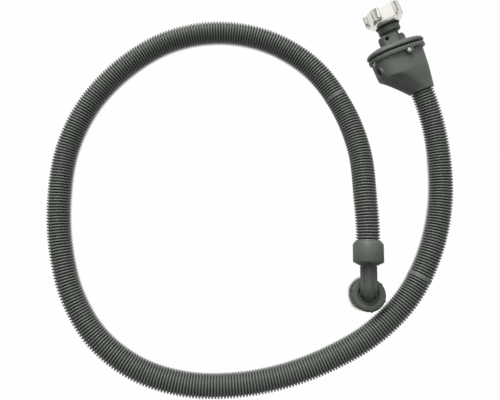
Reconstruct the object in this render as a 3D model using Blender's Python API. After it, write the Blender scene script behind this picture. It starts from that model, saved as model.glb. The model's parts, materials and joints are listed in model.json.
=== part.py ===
# Safety inlet hose for a washing machine or dishwasher, lying loosely coiled on a table.
# World frame: metres, +Z up, +X to the right and +Y away when the coil is seen from above.
# The tap end is modelled in its own frame: X across, Y along the inlet axis to the tap, Z up.
# The elbow end is modelled in its own frame: Y along the hose, Z up the leg, origin in the bend.

import math

import bmesh
import bpy
from mathutils import Vector

MM = 0.001
GAP = 0.3  # clearance between pieces that touch
TURN = 2.0 * math.pi

# Hose
JACKET_R = 12.5
JACKET_WALL = 2.4
PRESSURE_R = 7.2
MOUTH_CLEARANCE = 0.3
HOSE_SPACING = 42.0  # distance between the points of the tubes

# Places of the two ends on the table
TAP_END_AT = (8.1, 114.9, 23.8)
TAP_END_TURN = (5.0, 0.0, 20.3)
ELBOW_END_AT = (-34.4, -151.2, 31.1)
ELBOW_END_TURN = (-2.5, -11.0, -1.3)

# Route of the free hose from the elbow end's collar to the tap end
ROUTE = [
    (-33.2, -51.1, 26.3),
    (-36.2, 2.4, 20.5),
    (-54.2, 56.6, 15.0),
    (-87.7, 103.5, 12.8),
    (-137.2, 133.7, 12.6),
    (-193.5, 143.4, 12.6),
    (-249.8, 132.1, 12.6),
    (-298.2, 101.4, 12.6),
    (-335.7, 58.9, 12.6),
    (-358.2, 7.5, 12.6),
    (-364.4, -47.6, 12.6),
    (-360.0, -101.7, 12.6),
    (-344.9, -152.6, 12.6),
    (-316.2, -196.2, 12.6),
    (-274.0, -226.7, 12.6),
    (-224.7, -241.6, 12.6),
    (-173.2, -242.9, 12.6),
    (-122.4, -234.3, 12.6),
    (-73.6, -216.9, 12.6),
    (-27.5, -191.4, 12.6),
    (10.0, -156.4, 12.6),
    (37.0, -109.5, 12.6),
    (51.7, -57.1, 12.6),
    (53.4, -3.1, 13.4),
]

# Tap end: oval joint between cover and housing
FLANGE_HALF = (32.0, 22.9)
FLANGE_X = 0.3
FLANGE_THICK = 4.2
FLANGE_ROUND = 0.96
SEAM = 0.9  # half of the open seam at the parting plane
RIM_HEIGHT = 5.3
ROOF_HEIGHT = 8.4
ROOF_MARGIN = 9.0
SEAL_MARGIN = 0.5
SEAL_WIDTH = 1.2
SKIRT_LOW = -10.0
SKIRT_WALL = 1.8

# Tap end: housing body, and the hopper that draws it in to the hose mouth
BODY_HALF = (29.35, 19.0)
BODY_X = -0.65
BODY_WALL = 2.2
BODY_ROUND = (0.85, 1.7)  # weights of the left and the right corners
BODY_DRAFT = 0.9
KNEE_Y = -26.0
KNEE_ROUND = 0.8
CREASE_X = -11.2
# The crease between front and hopper: (share of the way down, share of the way across, slope left of it)
HOPPER = [
    (0.06, 0.12, 0.18),
    (0.18, 0.32, 0.36),
    (0.34, 0.49, 0.46),
    (0.55, 0.62, 0.48),
    (0.75, 0.76, 0.42),
    (0.90, 0.91, 0.24),
]
MOUTH_Y = -51.3
MOUTH_X = 11.5
MOUTH_WALL = 1.1
HOSE_INSERT = 8.0
LUG_SIDE_X = 6.3
LUG_END_Z = 5.0
LUG_Y = -6.6
LUG_SHORT = 0.5
SCREW_LUG_R = 4.1
SCREW_R = 1.4
SCREW_HEAD_R = 2.4
SCREW_HEAD_H = 1.5
SCREW_TIP = 1.0
WINDOW_Y = -17.5
WINDOW_Z = 6.5
WINDOW_R = 4.2
WINDOW_THICK = 1.6

# Tap end: neck and spigot on the inlet axis
INLET_X = 2.65
INLET_BORE = 6.0
NECK_R = 8.2
NECK_BLOCK = (-12.4, 3.2, 18.7, 12.6)  # left, right, top and front
BLOCK_HOLE = (-8.7, 14.6)
BLOCK_HOLE_R = 2.3
BLOCK_HOLE_DEPTH = 7.0
EAR = (15.2, 17.8, 4.3)  # right, top and half thickness
DISC_R = 12.2
DISC_Y = (22.6, 29.6)
SLIDE_RING_R = 13.4
SLIDE_RING_H = 1.0
SPIGOT_R = 9.9
SPIGOT_TOP = 39.0
GROOVE_DEPTH = 0.9

# Tap nut
NUT_Y = 31.2
NUT_H = 19.4
NUT_R = 18.6
NUT_FOOT_R = 14.6
NUT_SHOULDER = 3.4
NUT_LIP = 3.0
THREAD_R = 12.4
LUG_COUNT = 5
LUG_R = 22.0
LUG_HALF_ANGLE = 12.0
LUG_LENGTH = 14.5
LUG_START = -44.0
GASKET_R = 11.6
GASKET_HOLE = 7.4
GASKET_H = 2.4

# Valve inside the housing
CHAMBER_R = 8.6
CHAMBER_WALL = 2.0
SEAT_Y = -19.0
SEAT_HOLE = 4.0
SEAT_THICK = 2.4
GALLERY_H = 4.4
NIPPLE_R = 7.2
NIPPLE_BORE = 4.0
NIPPLE_END = -38.0
PLUNGER_R = 5.6
PLUNGER_TRAVEL = 4.4
PLUNGER_SEAL = 1.0
PLUNGER_Y = SEAT_Y + PLUNGER_SEAL + PLUNGER_TRAVEL
SPRING_R = 7.5
SPRING_WIRE = 0.5
SPRING_TURNS = 5
PLATE_THICK = 3.0
PLUG_R = 5.4
PLUG_X = -16.6
FERRULE_WALL = 1.0
FERRULE_LENGTH = 14.0

# Elbow end
COLLAR_R = 15.8
COLLAR_MOUTH_Y = 55.0
COLLAR_FOOT_Y = 29.6
COLLAR_WALL = 2.4
COLLAR_INSERT = 11.0
COLLAR_CHAMFER = 3.4
COLLAR_RIM = 0.4
PIPE_R = 5.8
PIPE_BORE = 4.2
RIB_R = 1.7
RIB_X = 6.9
BEND_R = 9.0
ELBOW_TAIL_Y = 40.5
LEG = 28.0
COUPLING_H = 19.5
COUPLING_R = 17.6
COUPLING_TOP_R = 16.3
COUPLING_RECESS_R = 11.0
COUPLING_RECESS = 3.0
COUPLING_LIP = 2.5
COUPLING_RIB = 0.8
COUPLING_RIBS = 6
NECK_SHOULDER_R = 7.8
ELBOW_FLANGE_H = 3.0


def clear_scene():
    for obj in list(bpy.data.objects):
        bpy.data.objects.remove(obj, do_unlink=True)


def material(name, colour, roughness, metallic=0.0):
    made = bpy.data.materials.new(name)
    made.use_nodes = True
    shader = made.node_tree.nodes["Principled BSDF"]
    shader.inputs["Base Color"].default_value = (*colour, 1.0)
    shader.inputs["Roughness"].default_value = roughness
    shader.inputs["Metallic"].default_value = metallic
    return made


def frame_empty(name, place, turn):
    empty = bpy.data.objects.new(name, None)
    empty.location = Vector(place) * MM
    empty.rotation_euler = [math.radians(angle) for angle in turn]
    bpy.context.scene.collection.objects.link(empty)
    return empty


def add_object(name, data, look, parent=None, place=(0, 0, 0)):
    obj = bpy.data.objects.new(name, data)
    obj.parent = parent
    obj.location = Vector(place) * MM
    if look:
        data.materials.append(look)
    bpy.context.scene.collection.objects.link(obj)
    return obj


def mesh_from(name, points, faces):
    """A mesh in metres from points in millimetres, its faces turned outward and its round faces smooth."""
    bm = bmesh.new()
    verts = [bm.verts.new(Vector(p) * MM) for p in points]
    for face in faces:
        bm.faces.new([verts[i] for i in face])
    bmesh.ops.recalc_face_normals(bm, faces=bm.faces)
    mesh = bpy.data.meshes.new(name)
    bm.to_mesh(mesh)
    bm.free()
    mesh.shade_smooth()
    mesh.set_sharp_from_angle(angle=math.radians(35))
    return mesh


def bridged(rings, closed):
    """Points and faces of rings of equal count joined in order. Closed joins the last to the first,
    and otherwise both ends are capped."""
    count = len(rings[0])
    points = [p for ring in rings for p in ring]
    faces = []
    for k in range(len(rings) if closed else len(rings) - 1):
        low, high = k * count, (k + 1) % len(rings) * count
        for i in range(count):
            j = (i + 1) % count
            faces.append((low + i, low + j, high + j, high + i))
    if not closed:
        faces.append(tuple(reversed(range(count))))
        faces.append(tuple(range((len(rings) - 1) * count, len(rings) * count)))
    return points, faces


def placed(axis, u, v, height):
    """A point at a height along the named axis and at (u, v) across it."""
    return {"Y": (u, height, v), "Z": (u, v, height), "X": (height, u, v)}[axis]


def circle(radius, height, steps, axis, centre=(0.0, 0.0)):
    """A ring of points round a line parallel to Y, Z or X."""
    ring = []
    for i in range(steps):
        u = centre[0] + radius * math.sin(TURN * i / steps)
        v = centre[1] + radius * math.cos(TURN * i / steps)
        ring.append(placed(axis, u, v, height))
    return ring


def turned(name, profile, axis, steps=32, centre=(0.0, 0.0), solid=False):
    """A turned piece from (radius, height) points. A solid one is capped, and any other is a closed loop."""
    rings = [circle(r, h, steps, axis, centre) for r, h in profile]
    return mesh_from(name, *bridged(rings, not solid))


def tube_profile(outer, inner, low, high):
    return [(outer, low), (outer, high), (inner, high), (inner, low)]


def conic(start, corner, end, weight, steps):
    """Points from start nearly to end, round the corner. A larger weight goes closer to the corner."""
    points = []
    for i in range(steps):
        t = i / steps
        shares = ((1 - t) ** 2, 2 * weight * t * (1 - t), t * t)
        parts = zip(start, corner, end)
        points.append([sum(s * p for s, p in zip(shares, part)) / sum(shares) for part in parts])
    return points


def section(y, left, top_x, right, half, rounds, slope=0.0):
    """A closed outline across Y between left and right, highest and lowest at top_x. Rounds are the
    weights of its left and right corners, and slope is how steeply it falls to the left of top_x."""
    shoulder = half - slope * (top_x - left)
    quarters = [
        ((top_x, half), (right, half), (right, 0.0), rounds[1]),
        ((right, 0.0), (right, -half), (top_x, -half), rounds[1]),
        ((top_x, -half), (left, -shoulder), (left, 0.0), rounds[0]),
        ((left, 0.0), (left, shoulder), (top_x, half), rounds[0]),
    ]
    return [(x, y, z) for quarter in quarters for x, z in conic(*quarter, 8)]


def block(low, high):
    """Points and faces of a box between two corners."""
    points = [(x, y, z) for x in (low[0], high[0]) for y in (low[1], high[1]) for z in (low[2], high[2])]
    faces = [(0, 1, 3, 2), (4, 6, 7, 5), (0, 4, 5, 1), (2, 3, 7, 6), (0, 2, 6, 4), (1, 5, 7, 3)]
    return points, faces


def combine(target, mesh, operation):
    """Joins or cuts the target by a hidden helper that shares its parent and place."""
    helper = add_object(f"{target.name}_{mesh.name}", mesh, None, target.parent)
    helper.location = target.location
    helper.hide_render = True
    helper.display_type = "WIRE"
    modifier = target.modifiers.new(mesh.name, "BOOLEAN")
    modifier.operation = operation
    modifier.object = helper
    modifier.solver = "EXACT"


def blend(a, b, t):
    return a + (b - a) * t


def flange_ring(y, margin):
    """The oval outline of the joint between cover and housing, grown by the margin."""
    left, right = FLANGE_X - FLANGE_HALF[0] - margin, FLANGE_X + FLANGE_HALF[0] + margin
    return section(y, left, FLANGE_X, right, FLANGE_HALF[1] + margin, (FLANGE_ROUND, FLANGE_ROUND))


def hopper_share(y):
    return (KNEE_Y - y) / (KNEE_Y - MOUTH_Y)


def housing_wall(y):
    return blend(BODY_WALL, MOUTH_WALL, min(1.0, max(0.0, 1.6 * hopper_share(y))))


def housing_ring(y, inset, across=0.0, slope=0.0):
    """The housing's outline at y, drawn in by the inset. Across is how far the crease has come."""
    mouth_r = JACKET_R + MOUTH_CLEARANCE + MOUTH_WALL
    body_left, body_right = BODY_X - BODY_HALF[0], BODY_X + BODY_HALF[0]
    down = y / MOUTH_Y
    wall_left = body_left + BODY_DRAFT * min(1.0, y / KNEE_Y)
    hopper_left = blend(body_left + BODY_DRAFT, MOUTH_X - mouth_r, hopper_share(y))
    middle, spread = (wall_left + hopper_left) / 2, (hopper_left - wall_left) / 2
    ending = max(0.0, hopper_share(y))
    left = middle + math.hypot(spread, KNEE_ROUND * (1.0 - ending))
    right = blend(body_right, MOUTH_X + mouth_r, down)
    half = blend(BODY_HALF[1], mouth_r, ending)
    circle_round = math.sqrt(0.5)
    rounds = [blend(weight, circle_round, ending) for weight in BODY_ROUND]
    crease = blend(CREASE_X, MOUTH_X, across)
    return section(y, left + inset, crease, right - inset, half - inset, rounds, slope)


def screw_places():
    """Axis, side, place across the axis, outer face and wall of each lug: front, back and left end."""
    side = (FLANGE_HALF[1] - LUG_SHORT, BODY_HALF[1])
    end = (FLANGE_HALF[0] - FLANGE_X - 2 * LUG_SHORT, BODY_HALF[0] - BODY_X)
    return [
        ("X", -1.0, (LUG_Y, LUG_END_Z), *end),
        ("Z", 1.0, (LUG_SIDE_X, LUG_Y), *side),
        ("Z", -1.0, (LUG_SIDE_X, LUG_Y), *side),
    ]


def make_valve_housing(frame, look):
    flange_low = -SEAM - FLANGE_THICK
    body = [(y, 0.0, 0.0) for y in (flange_low, -14.0, KNEE_Y + 3.0, KNEE_Y)]
    hopper = [(blend(KNEE_Y, MOUTH_Y, down), across, slope) for down, across, slope in HOPPER]
    stations = body + hopper + [(MOUTH_Y, 1.0, 0.0)]
    rings = [flange_ring(-SEAM, 0.0), flange_ring(-SEAM - 1.0, 0.2), flange_ring(flange_low, 0.0)]
    rings += [housing_ring(y, 0.0, across, slope) for y, across, slope in stations]
    rings += [housing_ring(y, housing_wall(y), across, slope) for y, across, slope in reversed(stations[1:])]
    rings.append(housing_ring(-SEAM, BODY_WALL))
    housing = add_object("valve_housing", mesh_from("housing", *bridged(rings, True)), look, frame)

    for k, (axis, side, spot, face, wall) in enumerate(screw_places()):
        profile = [(SCREW_LUG_R, side * (wall - BODY_WALL + 0.1)), (SCREW_LUG_R, side * (face - 0.4))]
        profile.append((SCREW_LUG_R - 0.4, side * face))
        combine(housing, turned(f"screw_lug_{k}", profile, axis, 20, spot, True), "UNION")
    for k, (axis, side, spot, face, wall) in enumerate(screw_places()):
        well_r, hole_r = SCREW_HEAD_R + GAP, SCREW_R + GAP
        seat = side * (face - SCREW_HEAD_H - GAP)
        profile = [(well_r, side * (face + 3.0)), (well_r, seat), (hole_r, seat)]
        profile.append((hole_r, side * (wall - 5.0)))
        combine(housing, turned(f"screw_hole_{k}", profile, axis, 20, spot, True), "DIFFERENCE")

    wall_x = BODY_X - BODY_HALF[0]
    socket_end = wall_x + BODY_WALL + 4.2
    socket = [(WINDOW_R + 1.8, wall_x + BODY_WALL - 0.4), (WINDOW_R + 1.8, socket_end)]
    combine(housing, turned("window_socket", socket, "X", 24, (WINDOW_Y, WINDOW_Z), True), "UNION")
    step_x = socket_end - 1.8
    bore = [(WINDOW_R + GAP, wall_x - 4.0), (WINDOW_R + GAP, step_x), (WINDOW_R - 0.9, step_x)]
    bore.append((WINDOW_R - 0.9, step_x + 8.0))
    combine(housing, turned("window_bore", bore, "X", 24, (WINDOW_Y, WINDOW_Z), True), "DIFFERENCE")
    return step_x


def make_indicator_window(frame, look, step_x):
    back = step_x - GAP
    profile = [(WINDOW_R, back), (WINDOW_R, back - WINDOW_THICK), (WINDOW_R - 0.8, back - WINDOW_THICK - 0.5)]
    mesh = turned("window", profile, "X", 24, (WINDOW_Y, WINDOW_Z), True)
    add_object("indicator_window", mesh, look, frame)


def make_screws(frame, look):
    for k, (axis, side, spot, face, wall) in enumerate(screw_places()):
        head_out = face - GAP
        head_in = face - SCREW_HEAD_H
        tip = wall - BODY_WALL - GAP - SKIRT_WALL - SCREW_TIP
        outline = [
            (SCREW_HEAD_R * 0.7, head_out), (SCREW_HEAD_R, head_out - 0.5), (SCREW_HEAD_R, head_in),
            (SCREW_R, head_in), (SCREW_R, tip + 1.2), (0.4, tip),
        ]
        profile = [(r, side * h) for r, h in outline]
        mesh = turned("screw", profile, axis, 16, spot, True)
        screw = add_object(f"cover_screw_{k + 1}", mesh, look, frame)
        for n, (wide, tall) in enumerate(((1.3, 0.3), (0.3, 1.3))):
            low = placed(axis, spot[0] - wide, spot[1] - tall, side * (head_out - 0.8))
            high = placed(axis, spot[0] + wide, spot[1] + tall, side * (head_out + 1.0))
            combine(screw, mesh_from(f"slot_{k}_{n}", *block(low, high)), "DIFFERENCE")


def make_inlet_cover(frame, look):
    skirt_out = BODY_WALL + GAP
    skirt_in = skirt_out + SKIRT_WALL
    rings = [
        housing_ring(SEAM, skirt_in),
        housing_ring(SKIRT_LOW, skirt_in),
        housing_ring(SKIRT_LOW, skirt_out),
        housing_ring(SEAM, skirt_out),
        flange_ring(SEAM, 0.0),
        flange_ring(SEAM + 1.1, 0.7),
        flange_ring(SEAM + 2.6, 0.5),
        flange_ring(RIM_HEIGHT, -0.8),
        flange_ring(RIM_HEIGHT + 1.3, -3.0),
        flange_ring(ROOF_HEIGHT, -ROOF_MARGIN),
    ]
    cover = add_object("inlet_cover", mesh_from("cover", *bridged(rings, False)), look, frame)

    groove_low = NUT_Y + NUT_LIP + GAP
    groove_high = groove_low + 2.0
    neck = [
        (NECK_R, RIM_HEIGHT),
        (NECK_R, DISC_Y[0]),
        (DISC_R - 0.6, DISC_Y[0]),
        (DISC_R, DISC_Y[0] + 0.7),
        (DISC_R, DISC_Y[1] - 0.6),
        (DISC_R - 0.6, DISC_Y[1]),
        (SPIGOT_R, DISC_Y[1]),
        (SPIGOT_R, groove_low),
        (SPIGOT_R - GROOVE_DEPTH, groove_low),
        (SPIGOT_R - GROOVE_DEPTH, groove_high),
        (SPIGOT_R, groove_high),
        (SPIGOT_R, SPIGOT_TOP),
    ]
    combine(cover, turned("neck", neck, "Y", 32, (INLET_X, 0.0), True), "UNION")

    # Stiffening shapes round the foot of the neck: a flat block above, a round lobe and a thin ear.
    block_left, block_right, block_top, block_front = NECK_BLOCK
    low, high = (block_left, RIM_HEIGHT, 0.0), (block_right, block_top, block_front)
    combine(cover, mesh_from("neck_block", *block(low, high)), "UNION")
    lobe = [(5.2, RIM_HEIGHT), (5.6, 13.0), (5.6, 18.2), (4.2, 20.2)]
    combine(cover, turned("neck_lobe", lobe, "Y", 20, (-7.6, -1.0), True), "UNION")
    lower_lobe = turned("lower_lobe", lobe, "Y", 20, (-3.0, -7.0), True)
    combine(cover, lower_lobe, "UNION")
    ear_right, ear_top, ear_half = EAR
    ear_points = [(INLET_X, RIM_HEIGHT + 1.0), (ear_right, RIM_HEIGHT + 1.0), (ear_right, ear_top - 2.9)]
    ear_points += [(ear_right - 1.8, ear_top), (INLET_X, ear_top)]
    rings = [[(x, y, z) for x, y in ear_points] for z in (-ear_half, ear_half)]
    combine(cover, mesh_from("neck_ear", *bridged(rings, False)), "UNION")

    core = [(BLOCK_HOLE_R, block_front - BLOCK_HOLE_DEPTH), (BLOCK_HOLE_R, block_front + 3.0)]
    combine(cover, turned("block_core", core, "Z", 20, BLOCK_HOLE, True), "DIFFERENCE")
    bore = [(INLET_BORE, SEAM - 4.0), (INLET_BORE, SPIGOT_TOP - 4.0), (GASKET_HOLE + GAP, SPIGOT_TOP - 4.0)]
    bore.append((GASKET_HOLE + GAP, SPIGOT_TOP + 3.0))
    combine(cover, turned("inlet_bore", bore, "Y", 32, (INLET_X, 0.0), True), "DIFFERENCE")
    for k, (axis, side, spot, face, wall) in enumerate(screw_places()):
        pilot = [(SCREW_R + GAP, side * face), (SCREW_R + GAP, side * (wall - skirt_in - 2.0))]
        combine(cover, turned(f"pilot_{k}", pilot, axis, 16, spot, True), "DIFFERENCE")


def make_cover_seal(frame, look):
    high = SEAM - GAP
    inner = SEAL_WIDTH - SEAL_MARGIN
    corners = ((-high, -SEAL_MARGIN), (high, -SEAL_MARGIN), (high, inner), (-high, inner))
    rings = [housing_ring(y, inset) for y, inset in corners]
    add_object("cover_seal", mesh_from("seal", *bridged(rings, True)), look, frame)


def make_inlet_rings(frame, rubber, steel, plastic):
    """What sits on the spigot: slide ring under the nut, retaining ring over its lip, strainer and gasket."""
    at = (INLET_X, 0.0)
    low = DISC_Y[1] + GAP
    slide = tube_profile(SLIDE_RING_R, SPIGOT_R + GAP, low, low + SLIDE_RING_H)
    add_object("nut_slide_ring", turned("slide", slide, "Y", 32, at), rubber, frame)

    low = NUT_Y + NUT_LIP + 2 * GAP
    inner, outer = SPIGOT_R - GROOVE_DEPTH + GAP, THREAD_R - 0.8
    arc = math.radians(330.0)
    rings = []
    for i in range(31):
        angle = arc * (i / 30.0 - 0.5)
        s, c = math.sin(angle), math.cos(angle)
        corners = ((outer, low), (outer, low + 1.4), (inner, low + 1.4), (inner, low))
        rings.append([(INLET_X + r * s, h, r * c) for r, h in corners])
    add_object("nut_retaining_ring", mesh_from("split_ring", *bridged(rings, False)), steel, frame)

    floor = SPIGOT_TOP - 4.0 + GAP
    strainer = [
        (GASKET_HOLE, floor), (GASKET_HOLE, floor + 1.2), (GASKET_HOLE - 1.2, floor + 1.2),
        (1.6, floor + 5.8), (0.6, floor + 5.8), (0.6, floor + 5.0), (GASKET_HOLE - 2.2, floor),
    ]
    add_object("inlet_strainer", turned("strainer", strainer, "Y", 24, at), plastic, frame)

    low = SPIGOT_TOP + GAP
    gasket = tube_profile(GASKET_R, GASKET_HOLE + GAP, low, low + GASKET_H)
    add_object("inlet_gasket", turned("gasket", gasket, "Y", 32, at), rubber, frame)


def lugged_ring(body_r, lug_r, half_angle, height):
    """A ring round Y with equal lugs. Its points run body, lug side, lug top, lug side, body."""
    ring = []
    pitch = 360.0 / LUG_COUNT
    side = 1.6
    for k in range(LUG_COUNT):
        centre = LUG_START + k * pitch
        spots = [(-half_angle - side, body_r), (-half_angle, lug_r), (0.0, lug_r), (half_angle, lug_r)]
        spots.append((half_angle + side, body_r))
        rest = pitch - 2 * (half_angle + side)
        spots += [(half_angle + side + rest * f, body_r) for f in (0.25, 0.5, 0.75)]
        for angle, radius in spots:
            turn = math.radians(centre + angle)
            ring.append((radius * math.sin(turn), height, radius * math.cos(turn)))
    return ring


def make_tap_nut(frame, look):
    mouth = NUT_H
    lug_low = mouth - LUG_LENGTH
    rings = [
        lugged_ring(NUT_FOOT_R, NUT_FOOT_R, 3.0, 0.0),
        lugged_ring(NUT_R, NUT_R, 3.0, NUT_SHOULDER),
        lugged_ring(NUT_R, NUT_R + 0.3, 3.0, lug_low),
        lugged_ring(NUT_R, blend(NUT_R, LUG_R, 0.75), LUG_HALF_ANGLE * 0.6, lug_low + 1.0),
        lugged_ring(NUT_R, LUG_R, LUG_HALF_ANGLE * 0.87, lug_low + 2.4),
        lugged_ring(NUT_R, LUG_R, LUG_HALF_ANGLE, lug_low + 4.6),
        lugged_ring(NUT_R, LUG_R, LUG_HALF_ANGLE, mouth - 0.5),
        lugged_ring(NUT_R - 0.5, LUG_R - 0.5, LUG_HALF_ANGLE, mouth),
        lugged_ring(THREAD_R + 0.9, THREAD_R + 0.9, LUG_HALF_ANGLE, mouth),
        lugged_ring(THREAD_R, THREAD_R, LUG_HALF_ANGLE, mouth - 0.9),
        lugged_ring(THREAD_R, THREAD_R, LUG_HALF_ANGLE, NUT_LIP),
        lugged_ring(SPIGOT_R + GAP, SPIGOT_R + GAP, LUG_HALF_ANGLE, NUT_LIP),
        lugged_ring(SPIGOT_R + GAP, SPIGOT_R + GAP, 3.0, 0.0),
    ]
    mesh = mesh_from("nut", *bridged(rings, True))
    add_object("tap_nut", mesh, look, frame, (INLET_X, NUT_Y, 0.0))


def make_valve_body(frame, look):
    top = SEAM - GAP
    plate_inset = BODY_WALL + SKIRT_WALL + 2 * GAP
    rings = [housing_ring(y, plate_inset) for y in (top - PLATE_THICK, top)]
    body = add_object("valve_body", mesh_from("plate", *bridged(rings, False)), look, frame)
    outer = CHAMBER_R + CHAMBER_WALL
    seat_low = SEAT_Y - SEAT_THICK
    gallery_low = seat_low - GALLERY_H
    foot = gallery_low - 2.4
    chamber = turned("chamber", [(outer, foot + 4.0), (outer, top - 1.0)], "Y", 32, (INLET_X, 0.0), True)
    combine(body, chamber, "UNION")
    low = (INLET_X - SEAT_HOLE - 2.4, foot, -SEAT_HOLE - 2.4)
    high = (MOUTH_X + NIPPLE_R - 0.4, SEAT_Y - 1.0, SEAT_HOLE + 2.4)
    combine(body, mesh_from("gallery_block", *block(low, high)), "UNION")
    nipple = turned("nipple", [(NIPPLE_R, NIPPLE_END), (NIPPLE_R, foot + 1.0)], "Y", 24, (MOUTH_X, 0.0), True)
    combine(body, nipple, "UNION")
    cup = turned("plug_cup", [(PLUG_R + 1.9, -9.4), (PLUG_R + 1.9, top - 1.0)], "Y", 24, (PLUG_X, 0.0), True)
    combine(body, cup, "UNION")

    room = [(SEAT_HOLE, seat_low - 1.0), (SEAT_HOLE, SEAT_Y), (CHAMBER_R, SEAT_Y), (CHAMBER_R, top + 3.0)]
    combine(body, turned("chamber_room", room, "Y", 32, (INLET_X, 0.0), True), "DIFFERENCE")
    low = (INLET_X - SEAT_HOLE, gallery_low, -SEAT_HOLE + 0.1)
    high = (MOUTH_X + NIPPLE_BORE - 0.1, seat_low, SEAT_HOLE - 0.1)
    combine(body, mesh_from("gallery", *block(low, high)), "DIFFERENCE")
    way = [(NIPPLE_BORE, NIPPLE_END - 3.0), (NIPPLE_BORE, gallery_low + 2.0)]
    combine(body, turned("nipple_way", way, "Y", 24, (MOUTH_X, 0.0), True), "DIFFERENCE")
    cup_room = turned("cup_room", [(PLUG_R + GAP, -14.0), (PLUG_R + GAP, -3.2)], "Y", 24, (PLUG_X, 0.0), True)
    combine(body, cup_room, "DIFFERENCE")


def make_plunger(frame, look):
    """The closing plunger, its origin on its travel's line. Fins guide it, and its nose enters the seat."""
    profile = [
        (1.6, -3.4), (3.2, -2.2), (3.3, 0.0), (PLUNGER_R, 0.0), (PLUNGER_R, 2.8), (2.2, 2.8), (2.2, 9.8), (1.4, 10.6),
    ]
    plunger = add_object("valve_plunger", turned("plunger", profile, "Y", 24, solid=True), look, frame)
    plunger.location = Vector((INLET_X, PLUNGER_Y, 0.0)) * MM
    reach = CHAMBER_R - 0.4
    for k, (wide, tall) in enumerate(((reach, 0.7), (0.7, reach))):
        combine(plunger, mesh_from(f"fin_{k}", *block((-wide, 0.8, -tall), (wide, 2.4, tall))), "UNION")


def make_spring(frame, look):
    top = SEAM - GAP - SPRING_WIRE
    low = PLUNGER_Y + 2.4 + GAP + SPRING_WIRE
    steps = 12 * SPRING_TURNS
    rings = []
    for i in range(steps + 1):
        angle = TURN * SPRING_TURNS * i / steps
        s, c = math.sin(angle), math.cos(angle)
        height = blend(low, top, i / steps)
        ring = []
        for k in range(5):
            bend = TURN * k / 5
            r = SPRING_R + SPRING_WIRE * math.cos(bend)
            ring.append((INLET_X + r * s, height + SPRING_WIRE * math.sin(bend), r * c))
        rings.append(ring)
    add_object("valve_spring", mesh_from("spring", *bridged(rings, False)), look, frame)


def make_swell_plug(frame, look):
    profile = [(PLUG_R - 0.5, -24.0), (PLUG_R, -23.5), (PLUG_R, -3.2 - GAP)]
    add_object("swell_plug", turned("plug", profile, "Y", 24, (PLUG_X, 0.0), True), look, frame)


def make_ferrule(name, frame, look, low, x):
    inner = NIPPLE_R + 0.4
    outer = inner + FERRULE_WALL
    high = low + FERRULE_LENGTH
    profile = [
        (outer, low), (outer, low + 3.2), (outer - 0.35, low + 3.8), (outer - 0.35, low + 5.4), (outer, low + 6.0),
        (outer, high - 6.0), (outer - 0.35, high - 5.4), (outer - 0.35, high - 3.8), (outer, high - 3.2),
        (outer, high), (inner, high), (inner, low),
    ]
    add_object(name, turned("ferrule", profile, "Y", 24, (x, 0.0)), look, frame)


def make_end_collar(frame, look):
    mouth_bore = JACKET_R + MOUTH_CLEARANCE
    hole = NIPPLE_R + GAP
    shoulder = COLLAR_FOOT_Y + 3.6
    profile = [
        (hole, COLLAR_FOOT_Y), (RIB_X + RIB_R, COLLAR_FOOT_Y), (COLLAR_R, shoulder),
        (COLLAR_R, COLLAR_MOUTH_Y - COLLAR_CHAMFER), (mouth_bore + COLLAR_RIM, COLLAR_MOUTH_Y),
        (mouth_bore, COLLAR_MOUTH_Y), (mouth_bore, shoulder + COLLAR_WALL), (hole, shoulder),
    ]
    collar = add_object("end_collar", turned("collar", profile, "Y", 40), look, frame)
    low = (-0.45, COLLAR_FOOT_Y - 1.0, 9.4)
    high = (0.45, COLLAR_FOOT_Y + 3.0, COLLAR_R + 2.0)
    combine(collar, mesh_from("slit", *block(low, high)), "DIFFERENCE")


def ribbed_outline():
    """The elbow pipe's outline as (side, lift) points: a round pipe with a bead along each side."""
    angles = [0, 15, 30, 45, 56, 64, 72, 78, 84, 90]
    quarter = []
    for angle in angles:
        s, c = math.sin(math.radians(angle)), math.cos(math.radians(angle))
        reach = PIPE_R
        inside = RIB_R ** 2 - (RIB_X * c) ** 2
        if inside > 0:
            reach = max(reach, RIB_X * s + math.sqrt(inside))
        quarter.append((reach * s, reach * c))
    right = quarter + [(x, -z) for x, z in reversed(quarter[:-1])]
    return right + [(-x, z) for x, z in reversed(right[1:-1])]


def elbow_sweep(outline, start_y, end_z):
    """Points and faces of an outline carried along the hose axis, round the bend and down the leg."""
    path = [((0.0, start_y, 0.0), (0.0, 0.0, 1.0))]
    for k in range(9):
        turn = math.radians(90.0 * k / 8)
        y = BEND_R - BEND_R * math.sin(turn)
        z = -BEND_R + BEND_R * math.cos(turn)
        path.append(((0.0, y, z), (0.0, -math.sin(turn), math.cos(turn))))
    path.append(((0.0, 0.0, end_z), (0.0, -1.0, 0.0)))
    rings = []
    for centre, lift in path:
        rings.append([tuple(Vector(centre) + Vector((side, 0, 0)) + Vector(lift) * up) for side, up in outline])
    return bridged(rings, False)


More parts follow.
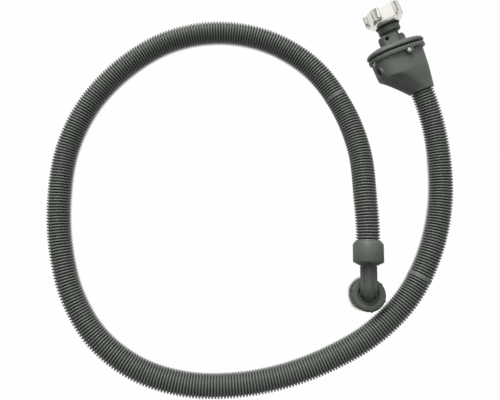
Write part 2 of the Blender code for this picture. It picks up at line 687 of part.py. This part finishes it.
def make_elbow(frame, look):
    pipe = elbow_sweep(ribbed_outline(), COLLAR_FOOT_Y - GAP, -BEND_R - 2.0)
    elbow = add_object("outlet_elbow", mesh_from("elbow", *pipe), look, frame)

    tail = [
        (PIPE_R - 0.2, COLLAR_FOOT_Y - 4.0), (PIPE_R - 0.2, COLLAR_FOOT_Y - 1.0), (NIPPLE_R, COLLAR_FOOT_Y - 1.0),
        (NIPPLE_R, ELBOW_TAIL_Y),
    ]
    combine(elbow, turned("tail", tail, "Y", 24, solid=True), "UNION")
    lip_low = -LEG + COUPLING_H - COUPLING_RECESS - COUPLING_LIP
    flange_top = lip_low - GAP
    leg = [
        (GASKET_R, flange_top - ELBOW_FLANGE_H), (GASKET_R, flange_top), (NECK_SHOULDER_R, flange_top),
        (NECK_SHOULDER_R, -BEND_R - 2.4), (PIPE_R, -BEND_R - 1.2),
    ]
    combine(elbow, turned("leg", leg, "Z", 32, solid=True), "UNION")
    round_bore = [(x, z) for x, z, _ in circle(PIPE_BORE, 0.0, 24, "Z")]
    bore = elbow_sweep(round_bore, ELBOW_TAIL_Y + 3.0, -LEG)
    combine(elbow, mesh_from("bore", *bore), "DIFFERENCE")


def ribbed_ring(body_r, rib_r, height):
    """A ring round Z with thin upright ribs."""
    ring = []
    pitch = 360.0 / COUPLING_RIBS
    for k in range(COUPLING_RIBS):
        for angle, radius in ((-4.0, body_r), (-1.6, rib_r), (1.6, rib_r), (4.0, body_r)):
            turn = math.radians(k * pitch - 20.0 + angle)
            ring.append((radius * math.cos(turn), radius * math.sin(turn), height))
        for share in (0.25, 0.5, 0.75):
            turn = math.radians(k * pitch - 16.0 + (pitch - 8.0) * share)
            ring.append((body_r * math.cos(turn), body_r * math.sin(turn), height))
    return ring


def make_coupling_nut(frame, look):
    mouth = -LEG
    top = mouth + COUPLING_H
    rib = COUPLING_R + COUPLING_RIB
    shelf = top - COUPLING_RECESS
    under = shelf - COUPLING_LIP
    lip_r = NECK_SHOULDER_R + GAP
    rings = [
        ribbed_ring(THREAD_R + 0.8, THREAD_R + 0.8, mouth),
        ribbed_ring(COUPLING_R, rib, mouth),
        ribbed_ring(COUPLING_R, rib, top - 2.0),
        ribbed_ring(COUPLING_TOP_R, COUPLING_TOP_R + 0.3, top - 0.3),
        ribbed_ring(COUPLING_TOP_R - 0.5, COUPLING_TOP_R - 0.5, top),
        ribbed_ring(COUPLING_RECESS_R + 0.3, COUPLING_RECESS_R + 0.3, top),
        ribbed_ring(COUPLING_RECESS_R, COUPLING_RECESS_R, top - 0.4),
        ribbed_ring(COUPLING_RECESS_R - 0.6, COUPLING_RECESS_R - 0.6, shelf),
        ribbed_ring(lip_r, lip_r, shelf),
        ribbed_ring(lip_r, lip_r, under),
        ribbed_ring(THREAD_R, THREAD_R, under),
        ribbed_ring(THREAD_R, THREAD_R, mouth + 0.8),
    ]
    add_object("coupling_nut", mesh_from("coupling", *bridged(rings, True)), look, frame)


def make_coupling_gasket(frame, look):
    lip_low = -LEG + COUPLING_H - COUPLING_RECESS - COUPLING_LIP
    high = lip_low - ELBOW_FLANGE_H - 2 * GAP
    gasket = tube_profile(GASKET_R, PIPE_BORE + 1.8, high - GASKET_H, high)
    add_object("coupling_gasket", turned("gasket", gasket, "Z", 32), look, frame)


def smooth_curve(points, steps):
    """Points along a smooth curve through the given ones, which may be unevenly spaced."""
    lengths = [(b - a).length for a, b in zip(points, points[1:])]
    ways = [(b - a) / h for a, b, h in zip(points, points[1:], lengths)]
    tangents = [ways[0]]
    for i in range(1, len(ways)):
        before, after = lengths[i - 1], lengths[i]
        tangents.append((ways[i - 1] * after + ways[i] * before) / (before + after))
    tangents.append(ways[-1])
    dense = []
    for i, h in enumerate(lengths):
        for k in range(steps):
            t = k / steps
            ends = points[i] * (2 * t ** 3 - 3 * t ** 2 + 1) + points[i + 1] * (3 * t ** 2 - 2 * t ** 3)
            bend = tangents[i] * (t ** 3 - 2 * t ** 2 + t) + tangents[i + 1] * (t ** 3 - t ** 2)
            dense.append(ends + bend * h)
    dense.append(points[-1])
    return dense


def evenly_spaced(dense, spacing):
    lengths = [0.0]
    for a, b in zip(dense, dense[1:]):
        lengths.append(lengths[-1] + (b - a).length)
    count = round(lengths[-1] / spacing)
    result, k = [], 0
    for i in range(count + 1):
        want = lengths[-1] * i / count
        while k < len(lengths) - 2 and lengths[k + 1] < want:
            k += 1
        share = (want - lengths[k]) / (lengths[k + 1] - lengths[k])
        result.append(dense[k].lerp(dense[k + 1], share))
    return result


def hose_line(elbow_frame, tap_frame):
    """The hose's line in millimetres between the two mouths, leaving each straight along its axis."""
    bpy.context.view_layer.update()

    def on_elbow(y):
        return elbow_frame.matrix_world @ Vector((0.0, y * MM, 0.0)) / MM

    def on_tap(y):
        return tap_frame.matrix_world @ Vector((MOUTH_X * MM, y * MM, 0.0)) / MM

    lead = 10.0
    start = [on_elbow(COLLAR_MOUTH_Y + 1.0), on_elbow(COLLAR_MOUTH_Y + lead)]
    end = [on_tap(MOUTH_Y - lead), on_tap(MOUTH_Y - 1.0)]
    free = evenly_spaced(smooth_curve(start + [Vector(p) for p in ROUTE] + end, 24), HOSE_SPACING)
    return on_elbow, on_tap, free


def tube_along(name, line, radius, look, capped, sides):
    curve = bpy.data.curves.new(name, "CURVE")
    curve.dimensions = "3D"
    curve.bevel_depth = radius * MM
    curve.bevel_resolution = sides
    curve.use_fill_caps = capped
    spline = curve.splines.new("POLY")
    spline.points.add(len(line) - 1)
    for point, place in zip(spline.points, line):
        point.co = (*(place * MM), 1.0)
    return add_object(name, curve, look)


def make_hoses(elbow_frame, tap_frame, jacket_look, hose_look):
    on_elbow, on_tap, free = hose_line(elbow_frame, tap_frame)
    jacket_ends = (on_elbow(COLLAR_MOUTH_Y - COLLAR_INSERT), on_tap(MOUTH_Y + HOSE_INSERT))
    line = [jacket_ends[0], *free, jacket_ends[1]]
    jacket = tube_along("hose_jacket", line, JACKET_R, jacket_look, False, 4)
    hollow = jacket.modifiers.new("wall", "SOLIDIFY")
    hollow.thickness = JACKET_WALL * MM
    hollow.offset = -1.0
    hollow.use_even_offset = True
    line = [on_elbow(ELBOW_TAIL_Y + GAP), *free, on_tap(NIPPLE_END - GAP)]
    tube_along("pressure_hose", line, PRESSURE_R, hose_look, True, 2)


def main():
    clear_scene()
    plastic = material("grey_plastic", (0.135, 0.145, 0.133), 0.48)
    jacket_grey = material("jacket_grey", (0.15, 0.16, 0.148), 0.42)
    nickel = material("nickel_plate", (0.82, 0.80, 0.74), 0.18, 1.0)
    steel = material("bright_steel", (0.62, 0.62, 0.60), 0.3, 1.0)
    rubber = material("black_rubber", (0.015, 0.015, 0.015), 0.7)
    white = material("white_plastic", (0.72, 0.72, 0.68), 0.4)
    lens = material("smoked_window", (0.03, 0.032, 0.03), 0.15)
    cellulose = material("pressed_cellulose", (0.55, 0.42, 0.25), 0.9)
    hose_black = material("hose_black", (0.02, 0.02, 0.02), 0.6)

    tap_frame = frame_empty("tap_end", TAP_END_AT, TAP_END_TURN)
    elbow_frame = frame_empty("elbow_end", ELBOW_END_AT, ELBOW_END_TURN)

    step_x = make_valve_housing(tap_frame, plastic)
    make_indicator_window(tap_frame, lens, step_x)
    make_screws(tap_frame, steel)
    make_inlet_cover(tap_frame, plastic)
    make_cover_seal(tap_frame, rubber)
    make_inlet_rings(tap_frame, rubber, steel, white)
    make_tap_nut(tap_frame, nickel)
    make_valve_body(tap_frame, white)
    make_plunger(tap_frame, white)
    make_spring(tap_frame, steel)
    make_swell_plug(tap_frame, cellulose)
    make_ferrule("tap_end_ferrule", tap_frame, steel, NIPPLE_END - 8.0, MOUTH_X)

    make_end_collar(elbow_frame, plastic)
    make_elbow(elbow_frame, plastic)
    make_coupling_nut(elbow_frame, plastic)
    make_coupling_gasket(elbow_frame, rubber)
    make_ferrule("elbow_end_ferrule", elbow_frame, steel, ELBOW_TAIL_Y - 5.0, 0.0)

    make_hoses(elbow_frame, tap_frame, jacket_grey, hose_black)


main()
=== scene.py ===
# Looks of the safety inlet hose: its corrugated jacket, its finishes, and a pale studio seen from above.
# Everything is in metres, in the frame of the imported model.
import json
import math

import bmesh
import bpy
import numpy as np
from mathutils import Euler, Matrix, Vector


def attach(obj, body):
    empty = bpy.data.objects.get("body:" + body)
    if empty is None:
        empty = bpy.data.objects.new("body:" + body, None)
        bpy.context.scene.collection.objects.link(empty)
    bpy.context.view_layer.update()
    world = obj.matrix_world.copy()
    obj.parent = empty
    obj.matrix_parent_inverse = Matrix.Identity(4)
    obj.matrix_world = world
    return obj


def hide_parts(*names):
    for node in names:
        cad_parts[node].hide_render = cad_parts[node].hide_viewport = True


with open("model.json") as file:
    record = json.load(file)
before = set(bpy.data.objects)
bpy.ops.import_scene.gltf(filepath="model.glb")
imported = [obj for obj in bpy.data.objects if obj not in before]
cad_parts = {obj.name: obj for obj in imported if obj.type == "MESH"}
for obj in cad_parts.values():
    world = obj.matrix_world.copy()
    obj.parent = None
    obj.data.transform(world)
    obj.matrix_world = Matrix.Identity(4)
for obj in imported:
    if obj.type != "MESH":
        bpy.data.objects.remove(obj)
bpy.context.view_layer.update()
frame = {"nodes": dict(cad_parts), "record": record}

TURN = 2.0 * math.pi
WHITE = (1.0, 1.0, 1.0)

# Places of the two end fittings, as in the CAD source
TAP_END_AT = Vector((0.0081, 0.1149, 0.0238))
TAP_END_TURN = (5.0, 0.0, 20.3)
ELBOW_END_AT = Vector((-0.0344, -0.1512, 0.0311))
ELBOW_END_TURN = (-2.5, -11.0, -1.3)
COLLAR_MOUTH_Y = 0.0550
COLLAR_INSERT = 0.0110
HOUSING_MOUTH_X = 0.0115
HOUSING_MOUTH_Y = -0.0513
HOUSING_INSERT = 0.0080

# The free hose's route from the collar to the valve housing, as in the CAD source
ROUTE = [
    (-0.0332, -0.0511, 0.0263), (-0.0362, 0.0024, 0.0205), (-0.0542, 0.0566, 0.0150),
    (-0.0877, 0.1035, 0.0128), (-0.1372, 0.1337, 0.0126), (-0.1935, 0.1434, 0.0126),
    (-0.2498, 0.1321, 0.0126), (-0.2982, 0.1014, 0.0126), (-0.3357, 0.0589, 0.0126),
    (-0.3582, 0.0075, 0.0126), (-0.3644, -0.0476, 0.0126), (-0.3600, -0.1017, 0.0126),
    (-0.3449, -0.1526, 0.0126), (-0.3162, -0.1962, 0.0126), (-0.2740, -0.2267, 0.0126),
    (-0.2247, -0.2416, 0.0126), (-0.1732, -0.2429, 0.0126), (-0.1224, -0.2343, 0.0126),
    (-0.0736, -0.2169, 0.0126), (-0.0275, -0.1914, 0.0126), (0.0100, -0.1564, 0.0126),
    (0.0370, -0.1095, 0.0126), (0.0517, -0.0571, 0.0126), (0.0534, -0.0031, 0.0134),
]
# The hose runs straight out of each mouth, from a little way outside it to the end of its lead
MOUTH_GAP = 0.0010
HOSE_LEAD = 0.0100
# Steps of the curve between two points of the route, and the shortest gap that isn't taken for one place
ROUTE_STEPS = 40
SAME_PLACE = 1e-7
# How far to each side of a place the line's direction is taken
DIRECTION_REACH = 0.002

# Jacket: crests of the true radius with deep grooves between them, and a plain bore with fewer rings
JACKET_R = 0.0125
GROOVE_R = 0.0103
JACKET_BORE = 0.0094
PITCH = 0.00311
JACKET_SIDES = 36
BORE_STEP = 8
# One corrugation as (share of the pitch, share of the groove's depth filled), and the middle of its groove
CORRUGATION = [(0.02, 0.0), (0.25, 0.0), (0.37, 0.70), (0.50, 1.0), (0.76, 1.0), (0.89, 0.70)]
GROOVE_MIDDLE = 0.13
# Distances from the collar's mouth to the two smooth marker bands, each one groove that is nearly filled
BANDS = [0.1664, 1.1650]
BAND_HEIGHT = 0.94
# The attribute that says how deep the jacket's points lie, from 0 on a crest to 1 in a groove or the bore;
# the jacket's material paints shade by it
DEPTH = "depth"


# The hose's line

def smooth_curve(points, steps):
    """Points along a smooth curve through the given ones, which may be unevenly spaced."""
    lengths = [(b - a).length for a, b in zip(points, points[1:])]
    ways = [(b - a) / length for a, b, length in zip(points, points[1:], lengths)]
    tangents = [ways[0]]
    for i in range(1, len(ways)):
        before, after = lengths[i - 1], lengths[i]
        tangents.append((ways[i - 1] * after + ways[i] * before) / (before + after))
    tangents.append(ways[-1])
    dense = []
    for i, length in enumerate(lengths):
        for k in range(steps):
            t = k / steps
            ends = points[i] * (2 * t ** 3 - 3 * t ** 2 + 1) + points[i + 1] * (3 * t ** 2 - 2 * t ** 3)
            bend = tangents[i] * (t ** 3 - 2 * t ** 2 + t) + tangents[i + 1] * (t ** 3 - t ** 2)
            dense.append(ends + bend * length)
    dense.append(points[-1])
    return dense


def placed(at, turn):
    """The place of an end fitting as a matrix, from its origin and its turns in degrees."""
    return Matrix.LocRotScale(at, Euler([math.radians(a) for a in turn]), None)


def hose_centreline():
    """Points along the hose's middle from inside the collar to inside the housing's mouth."""
    elbow = placed(ELBOW_END_AT, ELBOW_END_TURN)
    tap = placed(TAP_END_AT, TAP_END_TURN)

    def on_elbow(y):
        return elbow @ Vector((0.0, y, 0.0))

    def on_tap(y):
        return tap @ Vector((HOUSING_MOUTH_X, y, 0.0))

    start = [on_elbow(COLLAR_MOUTH_Y + MOUTH_GAP), on_elbow(COLLAR_MOUTH_Y + HOSE_LEAD)]
    end = [on_tap(HOUSING_MOUTH_Y - HOSE_LEAD), on_tap(HOUSING_MOUTH_Y - MOUTH_GAP)]
    free = smooth_curve(start + [Vector(p) for p in ROUTE] + end, ROUTE_STEPS)
    whole = [on_elbow(COLLAR_MOUTH_Y - COLLAR_INSERT), *free, on_tap(HOUSING_MOUTH_Y + HOUSING_INSERT)]
    return np.array([tuple(p) for p in whole])


class Line:
    """A line through many points, which tells places and cross directions at distances along it."""

    def __init__(self, points):
        gaps = np.linalg.norm(np.diff(points, axis=0), axis=1)
        self.points = points[np.concatenate([[True], gaps > SAME_PLACE])]
        steps = np.linalg.norm(np.diff(self.points, axis=0), axis=1)
        self.lengths = np.concatenate([[0.0], np.cumsum(steps)])
        self.total = self.lengths[-1]

    def at(self, distances):
        columns = [np.interp(distances, self.lengths, self.points[:, i]) for i in range(3)]
        return np.stack(columns, axis=-1)

    def frames(self, distances):
        """Places, and there the level direction across the line and the one square to both."""
        before = self.at(np.maximum(distances - DIRECTION_REACH, 0.0))
        ahead = self.at(np.minimum(distances + DIRECTION_REACH, self.total)) - before
        ahead /= np.linalg.norm(ahead, axis=1)[:, None]
        level = np.cross(ahead, np.array([0.0, 0.0, 1.0]))
        level /= np.linalg.norm(level, axis=1)[:, None]
        return self.at(distances), level, np.cross(level, ahead)


# The corrugated jacket

def corrugated_radii(total):
    """Distances along the jacket and its outer radius there, for a whole number of corrugations."""
    count = round(total / PITCH)
    pitch = total / count
    filled = {round((COLLAR_INSERT + band) / pitch - GROOVE_MIDDLE) for band in BANDS}
    distances, radii = [], []
    for k in range(count):
        for share, height in CORRUGATION:
            if k in filled:
                height = max(height, BAND_HEIGHT)
            distances.append((k + share) * pitch)
            radii.append(GROOVE_R + (JACKET_R - GROOVE_R) * height)
    distances.append(total)
    radii.append(GROOVE_R)
    return np.array(distances), np.array(radii)


def tube_rings(line, distances, radii, sides):
    """Rings of points round the line, one at each distance."""
    angles = TURN * np.arange(sides) / sides
    centres, level, lift = line.frames(distances)
    spokes = level[:, None] * np.cos(angles)[None, :, None] + lift[:, None] * np.sin(angles)[None, :, None]
    return centres[:, None] + spokes * radii[:, None, None]


def ring_faces(count, sides):
    """Four-sided faces between each ring and the next, with the last ring joined to the first."""
    ring = np.arange(count)[:, None]
    side = np.arange(sides)[None, :]
    beside = (side + 1) % sides
    here, there = ring * sides, (ring + 1) % count * sides
    corners = np.broadcast_arrays(here + side, there + side, there + beside, here + beside)
    return np.stack(corners, axis=-1).reshape(-1, 4)


def jacket_mesh(line):
    """The jacket as a closed hollow tube: a corrugated outer skin, then back along a plain bore."""
    outer, outer_r = corrugated_radii(line.total)
    inner = np.append(outer[:-1:BORE_STEP], outer[-1])[::-1]
    inner_r = np.full(len(inner), JACKET_BORE)
    rings = [tube_rings(line, outer, outer_r, JACKET_SIDES), tube_rings(line, inner, inner_r, JACKET_SIDES)]
    faces = ring_faces(len(outer) + len(inner), JACKET_SIDES)

    mesh = bpy.data.meshes.new("jacket")
    mesh.from_pydata(np.concatenate(rings).reshape(-1, 3).tolist(), [], faces.tolist())
    mesh.validate()
    mesh.shade_smooth()
    bm = bmesh.new()
    bm.from_mesh(mesh)
    bmesh.ops.recalc_face_normals(bm, faces=bm.faces)
    bm.to_mesh(mesh)
    bm.free()

    # Each point's depth, by which the jacket's material paints shade into the grooves and the bore
    depths = np.concatenate([(JACKET_R - outer_r) / (JACKET_R - GROOVE_R), np.ones(len(inner))])
    attribute = mesh.attributes.new(DEPTH, "FLOAT", "POINT")
    attribute.data.foreach_set("value", np.repeat(depths, JACKET_SIDES).astype(np.float32))
    return mesh


def make_jacket(look):
    """The jacket in place of the plain CAD tube, as one piece on the hose's body, with the pressure hose
    inside it.
    """
    line = Line(hose_centreline())
    jacket = bpy.data.objects.new("corrugated_jacket", jacket_mesh(line))
    jacket.data.materials.append(look)
    bpy.context.scene.collection.objects.link(jacket)
    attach(jacket, "hose")
    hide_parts("hose_jacket")


# Shader nodes

def node(tree, kind, **sockets):
    """A new node with values in the named sockets, where an underscore stands for a space."""
    made = tree.nodes.new(kind)
    for name, value in sockets.items():
        made.inputs[name.replace("_", " ")].default_value = value
    return made


def calculated(tree, operation, first, second):
    """A calculation with a node's output first, and second a number or another node's output."""
    made = tree.nodes.new("ShaderNodeMath")
    made.operation = operation
    tree.links.new(first, made.inputs[0])
    if isinstance(second, float):
        made.inputs[1].default_value = second
    else:
        tree.links.new(second, made.inputs[1])
    return made.outputs[0]


def colour_between(tree, value, low, low_colour, high, high_colour):
    """A colour that changes from the low one to the high one while the value goes from low to high."""
    ramp = tree.nodes.new("ShaderNodeValToRGB")
    first, last = ramp.color_ramp.elements
    first.position = low
    first.color = (*low_colour, 1.0)
    last.position = high
    last.color = (*high_colour, 1.0)
    tree.links.new(value, ramp.inputs["Fac"])
    return ramp.outputs["Color"]


def mixed_shader(tree, share, first, second):
    """The first shader where the share is 0, the second where it is 1, and both mixed in between."""
    mix = tree.nodes.new("ShaderNodeMixShader")
    tree.links.new(share, mix.inputs["Fac"])
    tree.links.new(first, mix.inputs[1])
    tree.links.new(second, mix.inputs[2])
    return mix.outputs["Shader"]


def light_path(tree, *kinds):
    """1 for a ray of any of the named kinds, and 0 for the others."""
    path = tree.nodes.new("ShaderNodeLightPath")
    found = path.outputs[kinds[0]]
    for kind in kinds[1:]:
        found = calculated(tree, "MAXIMUM", found, path.outputs[kind])
    return found


# Finishes

# How fine each kind of noise is, in waves per metre, and how much detail it has
MOTTLE_NOISE = {"Scale": 45.0, "Detail": 3.0}
GRAIN_NOISE = {"Scale": 2600.0, "Detail": 2.0}
ROUGHNESS_NOISE = {"Scale": 140.0, "Detail": 4.0}
# Noise gathers round 0.5, so these parts of its range are spread over the whole change
MOTTLE_RANGE = (0.32, 0.68)
ROUGHNESS_RANGE = (0.3, 0.7)
GRAIN_STRENGTH = 0.5
# Share of the groove's depth over which the jacket's colour darkens from its own crest grey to painted
# groove shade
GROOVE_SHADE_FADE = (0.1, 0.9)
JACKET_ROUGHNESS = 0.46


def shader_material(name, colour, roughness, metallic=0.0):
    """A new material with its node tree and its main shader."""
    made = bpy.data.materials.new(name)
    made.use_nodes = True
    shader = made.node_tree.nodes["Principled BSDF"]
    shader.inputs["Base Color"].default_value = (*colour, 1.0)
    shader.inputs["Roughness"].default_value = roughness
    shader.inputs["Metallic"].default_value = metallic
    return made, made.node_tree, shader


def noise_on(tree, coords, kind):
    """Noise of one kind in the object's own coordinates."""
    noise = node(tree, "ShaderNodeTexNoise", **kind)
    tree.links.new(coords.outputs["Object"], noise.inputs["Vector"])
    return noise.outputs["Fac"]


def add_mottle(tree, shader, coords, colour, amount):
    """Slow, faint changes of colour."""
    darker = [c * (1 - amount) for c in colour]
    paler = [min(1.0, c * (1 + amount)) for c in colour]
    low, high = MOTTLE_RANGE
    mottled = colour_between(tree, noise_on(tree, coords, MOTTLE_NOISE), low, darker, high, paler)
    tree.links.new(mottled, shader.inputs["Base Color"])


def add_grain(tree, shader, coords, depth):
    """A fine moulded grain as bump."""
    bump = node(tree, "ShaderNodeBump", Strength=GRAIN_STRENGTH, Distance=depth)
    tree.links.new(noise_on(tree, coords, GRAIN_NOISE), bump.inputs["Height"])
    tree.links.new(bump.outputs["Normal"], shader.inputs["Normal"])


def add_roughness(tree, shader, coords, smoothest, roughest):
    """Slow changes of roughness between two values."""
    low, high = ROUGHNESS_RANGE
    sockets = {"From Min": low, "From Max": high, "To Min": smoothest, "To Max": roughest}
    spread = node(tree, "ShaderNodeMapRange", **sockets)
    tree.links.new(noise_on(tree, coords, ROUGHNESS_NOISE), spread.inputs["Value"])
    tree.links.new(spread.outputs["Result"], shader.inputs["Roughness"])


def moulded(name, colour, roughness, mottle, grain=0.0, metallic=0.0, shine=0.5):
    """A finish with the limits of its roughness, a share of mottling and perhaps a grain of some depth."""
    made, tree, shader = shader_material(name, colour, roughness[1], metallic)
    shader.inputs["Specular IOR Level"].default_value = shine
    coords = tree.nodes.new("ShaderNodeTexCoord")
    add_mottle(tree, shader, coords, colour, mottle)
    if grain:
        add_grain(tree, shader, coords, grain)
    add_roughness(tree, shader, coords, *roughness)
    return made


def groove_shaded_plastic(name, crest, painted_groove_shade):
    """The jacket's plastic: its own grey on the crests, with painted shade darkening its grooves."""
    made, tree, shader = shader_material(name, crest, JACKET_ROUGHNESS)
    depth = tree.nodes.new("ShaderNodeAttribute")
    depth.attribute_name = DEPTH
    low, high = GROOVE_SHADE_FADE
    shaded = colour_between(tree, depth.outputs["Fac"], low, crest, high, painted_groove_shade)
    tree.links.new(shaded, shader.inputs["Base Color"])
    return made


GREY_PLASTIC = {"roughness": (0.46, 0.60), "mottle": 0.05, "grain": 0.00002, "shine": 0.4}
# Each slot's finish: its name, colour, limits of roughness and share of mottling, then the rest by name
LOOKS = {
    "grey_plastic": moulded("moulded_grey", (0.087, 0.098, 0.084), **GREY_PLASTIC),
    # The crest colour is the jacket's own grey; the groove colour is painted shade for its deep grooves
    "jacket_grey": groove_shaded_plastic("jacket_plastic_groove_shade", crest=(0.143, 0.157, 0.139), painted_groove_shade=(0.022, 0.027, 0.021)),
    "nickel_plate": moulded("nickel_plated", (0.73, 0.72, 0.67), (0.12, 0.22), 0.03, metallic=1.0),
    "bright_steel": moulded("plain_steel", (0.62, 0.62, 0.60), (0.22, 0.34), 0.04, metallic=1.0),
    "black_rubber": moulded("black_seal_rubber", (0.018,) * 3, (0.55, 0.70), 0.20, grain=0.00003),
    "white_plastic": moulded("natural_plastic", (0.72, 0.72, 0.68), (0.35, 0.45), 0.03, grain=0.00002),
    "smoked_window": moulded("smoked_lens", (0.004, 0.005, 0.004), (0.45, 0.55), 0.10, shine=0.1),
    "pressed_cellulose": moulded("pressed_fibre", (0.55, 0.42, 0.25), (0.80, 0.95), 0.15, grain=0.0002),
    "hose_black": moulded("pressure_hose_rubber", (0.02,) * 3, (0.50, 0.65), 0.10, grain=0.00003),
}
# The housing's moulding is a little lighter than the other grey pieces
NODE_LOOKS = {
    "valve_housing": moulded("housing_grey", (0.118, 0.131, 0.114), **GREY_PLASTIC),
}

# Points closer than this are welded, and edges bent by more than the angle are rounded
WELD_REACH = 0.00001
EDGE_ROUND = 0.00025
EDGE_SEGMENTS = 2
EDGE_ANGLE = 38.0


def dress_nodes():
    """The CAD nodes keep their shapes: welded, their edges lightly rounded, and each in its own finish."""
    slots = {row["node"]: row["material_slot"] for row in frame["record"]["subparts"]}
    for name, obj in frame["nodes"].items():
        obj.data.materials.clear()
        obj.data.materials.append(NODE_LOOKS.get(name, LOOKS[slots[name]]))
        obj.data.shade_smooth()
        weld = obj.modifiers.new("weld", "WELD")
        weld.merge_threshold = WELD_REACH
        bevel = obj.modifiers.new("edges", "BEVEL")
        bevel.width = EDGE_ROUND
        bevel.segments = EDGE_SEGMENTS
        bevel.limit_method = "ANGLE"
        bevel.angle_limit = math.radians(EDGE_ANGLE)
        bevel.use_clamp_overlap = True
        bevel.harden_normals = True


# Camera at the photograph's viewing angle: the tilt from straight above in degrees, the lens in millimetres
CAMERA_AT = (-0.1667, -0.1126, 0.5554)
CAMERA_TILT = 9.33
SENSOR_WIDTH = 36.0
FOCAL_LENGTH = 35.94
LENS_SHIFT = (0.02, -0.05)


def make_camera():
    data = bpy.data.cameras.new("camera")
    data.sensor_width = SENSOR_WIDTH
    data.lens = FOCAL_LENGTH
    data.shift_x, data.shift_y = LENS_SHIFT
    camera = bpy.data.objects.new("camera", data)
    camera.location = CAMERA_AT
    camera.rotation_euler = (math.radians(CAMERA_TILT), 0.0, 0.0)
    bpy.context.scene.collection.objects.link(camera)
    bpy.context.scene.camera = camera


# Studio: the middle of the loop, which the lamps point at, and the strength of the light from all sides
LOOP_MIDDLE = (-0.16, -0.05, 0.0)
ROOM_LIGHT = 0.03
# What reflections see of the room: white up to the first slope, and this grey above the second one, as
# sines of the angle above the horizon
REFLECTED_TOP = 0.2
REFLECTED_SLOPES = (0.15, 0.75)
# The floor: its grey for the light that it throws back, and its glow for the camera and for reflections
FLOOR_SIZE = 30.0
FLOOR_BOUNCE = 0.20
FLOOR_ROUGHNESS = 0.9
FLOOR_GLOW = 0.99
# The shadow close under the object: how far it reaches, how quickly it darkens, and its samples
CONTACT_REACH = 0.0040
CONTACT_DEPTH = 5.0
CONTACT_SAMPLES = 12
# Lamps as (name, place, diameter, watts): one from beyond the loop and a large soft one overhead
LAMPS = [
    ("key", (-0.70, 2.05, 1.25), 1.7, 69.0),
    ("overhead", (-0.16, 0.50, 1.45), 2.8, 20.0),
]


def make_floor():
    """A white floor for the camera and for reflections, dark only close under what lies on it."""
    bpy.ops.mesh.primitive_plane_add(size=FLOOR_SIZE)
    floor = bpy.context.object
    floor.name = "studio_floor"
    made, tree, shader = shader_material("studio_white", (FLOOR_BOUNCE,) * 3, FLOOR_ROUGHNESS)
    contact = node(tree, "ShaderNodeAmbientOcclusion", Distance=CONTACT_REACH)
    contact.samples = CONTACT_SAMPLES
    glow = tree.nodes.new("ShaderNodeEmission")
    tree.links.new(calculated(tree, "POWER", contact.outputs["AO"], CONTACT_DEPTH), glow.inputs["Strength"])
    seen = calculated(tree, "MULTIPLY", light_path(tree, "Is Camera Ray", "Is Glossy Ray"), FLOOR_GLOW)
    surface = mixed_shader(tree, seen, shader.outputs["BSDF"], glow.outputs["Emission"])
    tree.links.new(surface, tree.nodes["Material Output"].inputs["Surface"])
    floor.data.materials.append(made)


def make_world():
    """Dim room light, white to the camera, and for reflections bright low down and dim overhead."""
    world = bpy.data.worlds.new("studio")
    bpy.context.scene.world = world
    world.use_nodes = True
    tree = world.node_tree
    soft = tree.nodes["Background"]
    soft.inputs["Color"].default_value = (*WHITE, 1.0)
    soft.inputs["Strength"].default_value = ROOM_LIGHT

    coords = tree.nodes.new("ShaderNodeTexCoord")
    parts = tree.nodes.new("ShaderNodeSeparateXYZ")
    tree.links.new(coords.outputs["Generated"], parts.inputs[0])
    low, high = REFLECTED_SLOPES
    reflected = colour_between(tree, parts.outputs["Z"], low, WHITE, high, (REFLECTED_TOP,) * 3)
    mirrored = node(tree, "ShaderNodeBackground", Strength=1.0)
    tree.links.new(reflected, mirrored.inputs["Color"])
    white = node(tree, "ShaderNodeBackground", Color=(*WHITE, 1.0), Strength=1.0)

    glossy = light_path(tree, "Is Glossy Ray")
    unseen = mixed_shader(tree, glossy, soft.outputs["Background"], mirrored.outputs["Background"])
    seen = light_path(tree, "Is Camera Ray", "Is Transmission Ray")
    surface = mixed_shader(tree, seen, unseen, white.outputs["Background"])
    tree.links.new(surface, tree.nodes["World Output"].inputs["Surface"])


def area_lamp(name, place, size, power):
    """A round lamp that points at the middle of the loop."""
    data = bpy.data.lights.new(name, "AREA")
    data.shape = "DISK"
    data.size = size
    data.energy = power
    lamp = bpy.data.objects.new(name, data)
    lamp.location = place
    lamp.rotation_euler = (Vector(LOOP_MIDDLE) - Vector(place)).to_track_quat("-Z", "Y").to_euler()
    bpy.context.scene.collection.objects.link(lamp)


make_camera()
make_jacket(LOOKS["jacket_grey"])
dress_nodes()
make_floor()
make_world()
for lamp_row in LAMPS:
    area_lamp(*lamp_row)
bpy.context.scene.view_settings.view_transform = "Standard"
